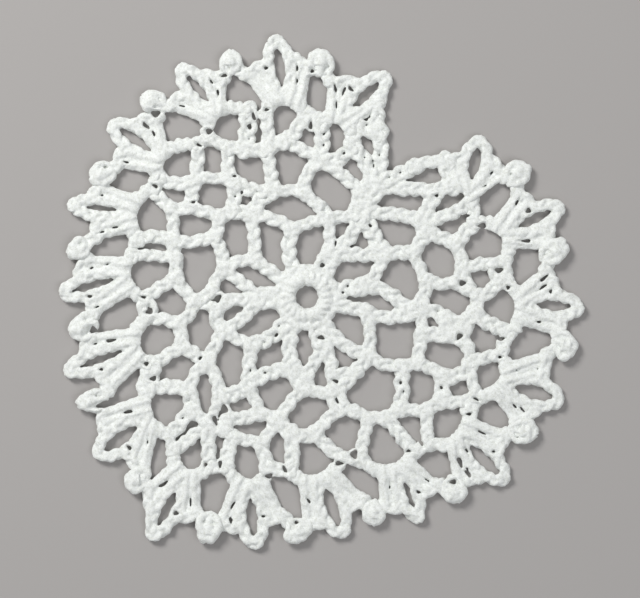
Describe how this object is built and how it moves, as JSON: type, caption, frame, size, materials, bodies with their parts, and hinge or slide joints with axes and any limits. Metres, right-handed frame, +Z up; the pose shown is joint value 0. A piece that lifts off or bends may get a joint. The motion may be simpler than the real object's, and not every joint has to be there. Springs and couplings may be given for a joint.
{
  "type": "lace doily",
  "caption": "Heart-shaped crocheted cotton doily, an open lace mat with a small ring, chained arches, fans and round bobbles along the edge.",
  "frame": {"origin": "on the surface the doily rests on, under the middle of its outline", "axes": "+X runs across the heart and +Y from its point side up to its highest fan, as it lies in the picture seen from above; +Z points up, away from the surface"},
  "size_m": [0.2192, 0.2142, 0.0058],
  "materials": {
    "cotton": "matt white cotton yarn, softly fuzzy"
  },
  "bodies": {
    "root": {"doily": "cotton"}
  },
  "joints": []
}
